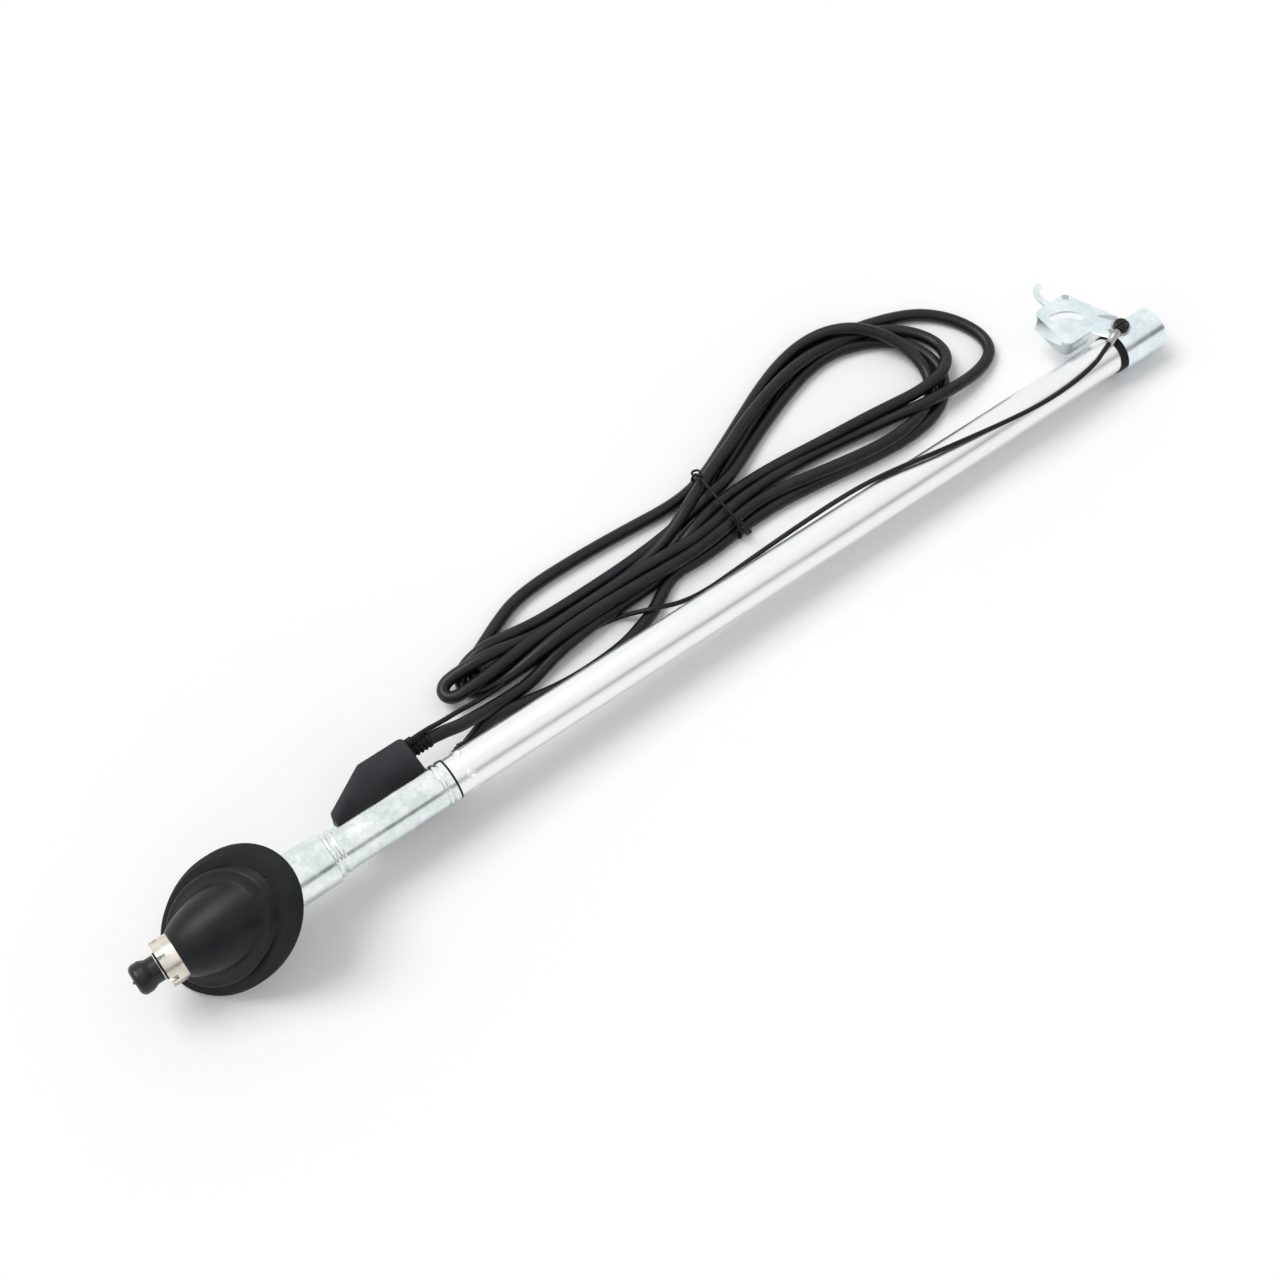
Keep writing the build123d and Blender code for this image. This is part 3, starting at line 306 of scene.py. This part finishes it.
LEAD_DIAMETER = 0.0020
lead_pvc = cast("lead_pvc", rgb(17, 17, 19), rgb(27, 27, 30), blotch=120, grain=3000, roughness=(0.32, 0.45),
                bump=0.00003)
lead_route = [(-3.76, 19.9, 25.33), (2, 20.6, 24.4), (10, 21.6, 20.5), (19.4, 23.7, 15.5), (26, 25, 11),
              (33, 26.6, 7), (41, 28, 4), (50, 29, 1.6), (60, 29.6, 1.1), (71, 29.8, 1.1),
              (82, 28.8, 1.1), (92, 27.4, 1.1), (98, 25, 2.6), (104, 20.8, 6), (110, 17.6, 7.2),
              (116, 15.6, 6), (124, 15, 3.4), (133, 15, 1.8), (143, 15.2, 2.0), (163, 14, 6.6),
              (184, 12, 12.4), (203, 9.4, 17.6), (218, 5.8, 21.2), (234, 1.6, 23.2),
              (252, -1.4, 22.7), (272, -4, 21.1), (291, -5.6, 19.5), (308, -5.4, 19.2),
              (320.6, -4.4, 21.6), (326, -2.4, 21.7), (331.9, -0.3, 21.6)]
lead = cable("earth_lead", on_floor(lead_route), LEAD_DIAMETER, lead_pvc)


# The tie: a thin plastic-covered wire, bent round the waist of the hank, with its ends
# twisted together on the near side and one end left as a small loop on the far side.

TIE_DIAMETER, KNOT_DIAMETER, LOOP_DIAMETER = 0.0012, 0.0011, 0.0010
tie_pvc = cast("tie_pvc", rgb(14, 14, 15), rgb(24, 24, 25), blotch=200, grain=3200, roughness=(0.4, 0.55),
               bump=0.00002)
tie_round = [(158.8, 28.0, 10.6), (158.2, 26.6, 8.0), (157.4, 25.3, 3.2), (157.2, 27.6, 0.7),
             (157.2, 36.0, 0.6), (157.4, 46.0, 0.6), (157.6, 56.4, 0.7), (157.8, 59.4, 2.4),
             (158.0, 58.8, 7.0), (158.0, 56.8, 11.2), (157.6, 52.6, 12.6), (157.2, 47.0, 12.8),
             (157.2, 39.0, 12.2), (157.6, 32.4, 11.4), (158.2, 28.6, 10.4), (158.8, 26.4, 7.4),
             (159.6, 25.2, 4.4), (161.2, 25.4, 2.2), (163.0, 26.4, 1.2)]
tie = cable("hank_tie_wire", on_floor(tie_round), TIE_DIAMETER, tie_pvc)
far_loop_round = [(158.4, 54.0, 13.0), (156.4, 55.2, 13.2), (155.8, 57.2, 12.4), (157.6, 58.6, 11.4),
                  (159.6, 57.4, 11.8), (159.2, 54.8, 13.0), (157.8, 53.4, 13.2)]
far_loop = cable("tie_far_loop", on_floor(far_loop_round), LOOP_DIAMETER, tie_pvc)
knot_round = [(157.6, 29.4, 11.2), (156.8, 28.0, 10.2), (157.6, 26.8, 9.0), (159.2, 27.2, 8.4),
              (159.6, 28.2, 9.4), (158.4, 28.4, 10.4), (157.0, 27.2, 9.2), (157.2, 26.0, 7.4),
              (158.8, 25.8, 6.4), (159.4, 27.0, 6.8)]
knot = cable("tie_knot", on_floor(knot_round), KNOT_DIAMETER, tie_pvc)


# The plug: the usual aerial plug with a slit nickel shell, a pin in a nylon core and a
# moulded boot. It lies under the tube, hidden in the photograph.

SAME_PLACE = 0.000002


def copied(node):
    """The mesh of a CAD node, its doubles merged."""
    shape = bmesh.new()
    shape.from_mesh(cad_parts[node].data)
    bmesh.ops.remove_doubles(shape, verts=shape.verts, dist=SAME_PLACE)
    mesh = bpy.data.meshes.new(node)
    shape.to_mesh(mesh)
    shape.free()
    return mesh


TILT = math.radians(1.770)
LIFT = 20.616


def on_antenna(x, y=0.0, z=0.0):
    """The place of a point of the antenna, given in millimetres from the tube's front end."""
    front = Vector((*FRONT_END, LIFT)) / 1000
    lay = Matrix.Translation(front) @ Matrix.Rotation(TILT, 4, "Y")
    return lay @ Matrix.Translation((x / 1000, y / 1000, z / 1000))


SAME_RADIUS = 0.00002
SQUARE_TO_MAST = 0.02


def true_rounds(mesh):
    """Shades the faces that lie on a cylinder about the mast as that cylinder."""
    place = on_antenna(0)
    back, turn = place.inverted(), place.to_3x3()
    normals = [Vector(corner.vector) for corner in mesh.corner_normals]
    for face in mesh.polygons:
        facing = turn.inverted() @ face.normal
        points = [back @ mesh.vertices[number].co for number in face.vertices]
        spans = [math.hypot(point.y, point.z) for point in points]
        if abs(facing.x) > SQUARE_TO_MAST or max(spans) - min(spans) > SAME_RADIUS:
            continue
        for corner, point in zip(face.loop_indices, points):
            outward = Vector((0, point.y, point.z)).normalized()
            normals[corner] = turn @ (outward if outward.dot(facing) > 0 else -outward)
    mesh.normals_split_custom_set(normals)


def fitted(name, node, material, body="base", smooth=32, extra=()):
    """A made piece in the place of its CAD node, with its round faces smooth."""
    mesh = copied(node)
    mesh.materials.clear()
    mesh.materials.append(material)
    for part in extra:
        shape = bmesh.new()
        shape.from_mesh(mesh)
        shape.from_mesh(part)
        shape.to_mesh(mesh)
        shape.free()
    for face in mesh.polygons:
        face.use_smooth = True
        face.material_index = 0
    mesh.set_sharp_from_angle(angle=math.radians(smooth))
    true_rounds(mesh)
    piece = bpy.data.objects.new(name, mesh)
    bpy.context.scene.collection.objects.link(piece)
    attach(piece, body)
    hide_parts(node)
    return piece


RING_STEPS, BEAD_STEPS = 48, 10


def ring_tree():
    """Geometry nodes that set equal rings in a row along X."""
    tree = bpy.data.node_groups.new("rings_in_a_row", "GeometryNodeTree")
    tree.interface.new_socket(name="Geometry", in_out="OUTPUT", socket_type="NodeSocketGeometry")
    for name, kind, value in (("Count", "Int", 4), ("Pitch", "Float", 0.002), ("Radius", "Float", 0.003),
                              ("Bead", "Float", 0.0004), ("Finish", "Material", None)):
        socket = tree.interface.new_socket(name=name, in_out="INPUT", socket_type="NodeSocket" + kind)
        if value is not None:
            socket.default_value = value
    nodes, links = tree.nodes, tree.links
    given = nodes.new("NodeGroupInput")
    result = nodes.new("NodeGroupOutput")
    step = nodes.new("ShaderNodeCombineXYZ")
    row = nodes.new("GeometryNodeMeshLine")
    circle = nodes.new("GeometryNodeCurvePrimitiveCircle")
    circle.inputs["Resolution"].default_value = RING_STEPS
    profile = nodes.new("GeometryNodeCurvePrimitiveCircle")
    profile.inputs["Resolution"].default_value = BEAD_STEPS
    ring = nodes.new("GeometryNodeCurveToMesh")
    stand = nodes.new("GeometryNodeInstanceOnPoints")
    stand.inputs["Rotation"].default_value = (0, math.pi / 2, 0)
    real = nodes.new("GeometryNodeRealizeInstances")
    paint_on = nodes.new("GeometryNodeSetMaterial")
    links.new(given.outputs["Pitch"], step.inputs["X"])
    links.new(given.outputs["Count"], row.inputs["Count"])
    links.new(step.outputs[0], row.inputs["Offset"])
    links.new(given.outputs["Radius"], circle.inputs["Radius"])
    links.new(given.outputs["Bead"], profile.inputs["Radius"])
    links.new(circle.outputs[0], ring.inputs["Curve"])
    links.new(profile.outputs[0], ring.inputs["Profile Curve"])
    links.new(row.outputs[0], stand.inputs["Points"])
    links.new(ring.outputs[0], stand.inputs["Instance"])
    links.new(stand.outputs[0], real.inputs[0])
    links.new(real.outputs[0], paint_on.inputs["Geometry"])
    links.new(given.outputs["Finish"], paint_on.inputs["Material"])
    links.new(paint_on.outputs[0], result.inputs[0])
    return tree


rings_in_a_row = ring_tree()


def row_of_rings(count, pitch, radius, bead, material, place):
    """The mesh of equal rings in a row that starts at a place."""
    bare = bpy.data.objects.new("rings", bpy.data.meshes.new("rings"))
    bpy.context.scene.collection.objects.link(bare)
    modifier = bare.modifiers.new("rings", "NODES")
    modifier.node_group = rings_in_a_row
    values = {"Count": count, "Pitch": pitch, "Radius": radius, "Bead": bead, "Finish": material}
    for item in rings_in_a_row.interface.items_tree:
        if item.in_out == "INPUT":
            modifier[item.identifier] = values[item.name]
    graph = bpy.context.evaluated_depsgraph_get()
    mesh = bpy.data.meshes.new_from_object(bare.evaluated_get(graph))
    bpy.data.objects.remove(bare)
    mesh.transform(place)
    return mesh


PLUG_TURN = math.radians(22.0)
BOOT_RIBS_BACK = 0.0080
nickel = cast("plug_nickel", rgb(178, 174, 164), rgb(200, 197, 188), blotch=260, grain=4200,
              roughness=(0.16, 0.32), bump=0.00001, Metallic=1.0)
boot_plastic = cast("boot_plastic", rgb(34, 35, 37), rgb(46, 47, 49), blotch=160, grain=2800,
                    roughness=(0.42, 0.55), bump=0.00003)
core_nylon = cast("core_nylon", rgb(206, 203, 192), rgb(222, 219, 209), blotch=180, grain=3000,
                  roughness=(0.4, 0.5), bump=0.00002)
boot_tail = Matrix.Translation(on_floor(back_to_plug)[-1]) @ Matrix.Rotation(PLUG_TURN, 4, "Z")
boot_ribs = row_of_rings(count=5, pitch=0.0016, radius=0.0033, bead=0.00045, material=boot_plastic,
                         place=boot_tail @ Matrix.Translation((-BOOT_RIBS_BACK, 0, 0)))
boot = fitted("plug_boot_moulding", "plug_boot", boot_plastic, extra=(boot_ribs,))
shell = fitted("plug_shell_slit", "plug_shell", nickel)
core = fitted("plug_core_nylon", "plug_core", core_nylon)
pin = fitted("plug_centre_pin", "plug_pin", nickel)
for wire, slot_name, nodes in ((coax, "cord_sheath", ("coax_lead", "coax_hank", "coax_tail")),
                               (lead, "lead_sheath", ("ground_lead",)), (tie, "tie_wire", ("hank_tie",)),
                               (far_loop, "tie_wire", ()), (knot, "tie_wire", ())):
    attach(wire, "base")
    if nodes:
        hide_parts(*nodes)
on_floor(coax_route)[0]
on_floor(lead_route)[0]


# The main tube: thin bright drawn aluminium, staked round its front end on to a black
# insulator, with faint draw lines along it and light scuffs from handling.

def drawn_tube():
    """Bright metal with long fine draw lines, and duller patches where it was handled."""
    material = bpy.data.materials.new("tube_bright")
    material.use_nodes = True
    finish = Finish(material.node_tree)
    place = finish.node("TexCoord", output="Object")
    along = finish.node("Mapping", Vector=place, Scale=(5, 900, 900))
    lines = finish.node("TexNoise", Vector=along, Scale=1.0, Detail=3.0)
    cloud = finish.node("TexNoise", Vector=place, Scale=38.0, Detail=5.0, Roughness=0.65)
    scuffs = finish.node("TexVoronoi", {"feature": "DISTANCE_TO_EDGE"}, Vector=along, Scale=0.35)
    scratch = finish.node("ValToRGB", {"stops": [(0.0, 1.0), (0.02, 0.0)]}, i0=scuffs)
    colour = finish.mixed(lines * 0.6 + cloud * 0.4, rgb(232, 236, 235), rgb(252, 253, 253))
    gloss = cloud * 0.14 + lines * 0.08 + 0.2 + scratch * 0.06
    relief = finish.node("Bump", Strength=0.6, Distance=0.000012, Height=lines + cloud * 0.8)
    finish.shade({"Base Color": colour, "Roughness": gloss, "Normal": relief}, Metallic=1.0)
    return material


tube_bright = drawn_tube()
black_insulator = cast("insulator_black", rgb(18, 18, 19), rgb(28, 28, 29), blotch=200, grain=2600,
                       roughness=(0.4, 0.55), bump=0.00002)
STAKES = 5
STAKE_X, STAKE_TURN = 6.0, 40.5
LIP_HEIGHT = 0.00792
lips = []
for number in range(STAKES):
    turn = Matrix.Rotation(math.radians(STAKE_TURN - number * 360 / STAKES), 4, "X")
    stand = Matrix.Translation((0, 0, LIP_HEIGHT)) @ Matrix.Rotation(math.pi / 2, 4, "Y")
    lips.append(row_of_rings(count=1, pitch=0, radius=0.0016, bead=0.00022, material=tube_bright,
                             place=on_antenna(STAKE_X) @ turn @ stand))
fitted("tube_drawn", "main_tube", tube_bright, extra=lips)
fitted("tube_plug_black", "tube_end_plug", black_insulator)
fitted("joint_ring_black", "joint_insulator", black_insulator)
fitted("tube_liner_nylon", "tube_liner", core_nylon)


# The head: a zinc plated steel sleeve with rolled beads, and the collar that grips the wing
# from below. The plating is bluish and cloudy, with small spangles.

def zinc(name, dark, pale):
    """Bluish zinc plate: clouds, small crystals and finger-dulled patches."""
    material = bpy.data.materials.new(name)
    material.use_nodes = True
    finish = Finish(material.node_tree)
    place = finish.node("TexCoord", output="Object")
    cloud = finish.node("TexNoise", Vector=place, Scale=95.0, Detail=6.0, Roughness=0.7)
    crystals = finish.node("TexVoronoi", Vector=place, Scale=420.0)
    fine = finish.node("TexNoise", Vector=place, Scale=1500.0, Detail=2.0)
    patches = finish.node("ValToRGB", {"stops": [(0.4, 0.0), (0.62, 1.0)]}, i0=cloud)
    colour = finish.mixed(patches * 0.75 + crystals * 0.3, dark, pale)
    gloss = patches * 0.12 + fine * 0.08 + 0.1
    grain = cloud * 0.7 + fine * 0.3 + crystals * 0.4
    relief = finish.node("Bump", Strength=0.7, Distance=0.00003, Height=grain)
    finish.shade({"Base Color": colour, "Roughness": gloss, "Normal": relief}, Metallic=1.0)
    return material


THREAD_X = -92.0
zinc_head = zinc("zinc_head", rgb(206, 219, 217), rgb(246, 250, 250))
brass = cast("contact_brass", rgb(176, 142, 84), rgb(196, 164, 104), blotch=220, grain=3200,
             roughness=(0.25, 0.4), bump=0.00001, Metallic=1.0)
stem_thread = row_of_rings(count=32, pitch=0.0010, radius=0.00628, bead=0.00025, material=zinc_head,
                           place=on_antenna(THREAD_X))
fitted("head_sleeve_zinc", "head_sleeve", zinc_head, smooth=40)
fitted("collar_zinc", "clamp_collar", zinc_head, smooth=40)
fitted("stem_zinc", "head_stem", zinc_head, extra=(stem_thread,))
fitted("contact_ring_nylon", "contact_holder", core_nylon)
fitted("contact_brass_sleeve", "contact_spring", brass)


# The junction box: black moulded plastic, satin and finely spark-textured, pointed at the
# front, with a ribbed gland for the coax and a small grommet for the earth lead.

GLAND_X, GLAND_Y = -5.6, 18.4
box_plastic = cast("box_plastic", rgb(46, 47, 50), rgb(56, 57, 60), blotch=120, grain=2400,
                   roughness=(0.48, 0.62), bump=0.00008)
gland_rubber = cast("gland_rubber", rgb(20, 20, 22), rgb(30, 30, 32), blotch=200, grain=2600,
                    roughness=(0.45, 0.6), bump=0.00004)
fitted("junction_box_moulding", "junction_box", box_plastic, smooth=38)
gland_ribs = row_of_rings(count=5, pitch=0.0018, radius=0.0027, bead=0.0005, material=gland_rubber,
                          place=on_antenna(GLAND_X, GLAND_Y))
fitted("gland_ribbed", "coax_gland", gland_rubber, extra=(gland_ribs,))
fitted("grommet_small", "lead_grommet", gland_rubber)


# The slanted base: a moulded rubber pad that seals against the wing, and on it a satin
# plastic bell with a rounded brim, held down by a nickel ring nut with six slots.

pad_rubber = cast("pad_rubber", rgb(22, 24, 24), rgb(33, 35, 35), blotch=70, grain=1800,
                  roughness=(0.62, 0.78), bump=0.0001)
bell_plastic = cast("bell_plastic", rgb(18, 19, 21), rgb(28, 30, 32), blotch=90, grain=2200,
                    roughness=(0.34, 0.46), bump=0.00004)
nut_nickel = cast("nut_nickel", rgb(206, 200, 186), rgb(236, 231, 220), blotch=180, grain=2600,
                  roughness=(0.18, 0.34), bump=0.00003, Metallic=1.0)
fitted("pad_moulded", "sealing_pad", pad_rubber, smooth=28)
fitted("bell_moulded", "bell_cap", bell_plastic, smooth=38)
fitted("ring_nut", "castle_nut", nut_nickel, smooth=30)
fitted("mouth_bush", "guide_bush", black_insulator)


# The mast: four chromed brass sections, each sliding in the next, pushed in as far as they
# go, with a nylon piston at the tail and a black knob on the tip.

chrome = cast("mast_chrome", rgb(200, 202, 204), rgb(216, 218, 220), blotch=60, grain=3000,
              roughness=(0.08, 0.16), bump=0.000006, Metallic=1.0)
knob_plastic = cast("knob_plastic", rgb(18, 18, 20), rgb(30, 30, 32), blotch=260, grain=2600,
                    roughness=(0.26, 0.4), bump=0.00003, Specular_IOR_Level=0.4)
for number in (1, 2, 3):
    fitted(f"mast_tube_{number}", f"mast_section_{number}", chrome, body=f"mast_{number}")
fitted("mast_piston", "mast_foot", core_nylon, body="mast_1")
fitted("mast_tip_rod", "mast_rod", chrome, body="mast_tip")
fitted("mast_knob", "tip_knob", knob_plastic, body="mast_tip", smooth=45)


# The lower bracket: one zinc plated sheet, rolled round the tube on a rubber sleeve, with a
# slotted plate and a hook. A black screw holds the earth lead's crimped ring on it.

zinc_sheet = zinc("zinc_sheet", rgb(212, 227, 230), rgb(240, 248, 250))
band_rubber = cast("band_rubber", rgb(18, 18, 19), rgb(28, 28, 29), blotch=160, grain=2200,
                   roughness=(0.6, 0.75), bump=0.00005)
screw_black = cast("screw_black", rgb(40, 40, 42), rgb(62, 62, 64), blotch=300, grain=3600,
                   roughness=(0.3, 0.45), bump=0.00002, Metallic=0.8)
tinned = cast("terminal_tin", rgb(160, 160, 156), rgb(190, 190, 186), blotch=300, grain=3400,
              roughness=(0.24, 0.4), bump=0.00002, Metallic=1.0)
fitted("bracket_sheet", "lower_bracket", zinc_sheet, smooth=34)
fitted("bracket_rubber", "clamp_liner", band_rubber)
fitted("earth_screw", "ground_screw", screw_black, smooth=40)
fitted("earth_ring", "ring_terminal", tinned)
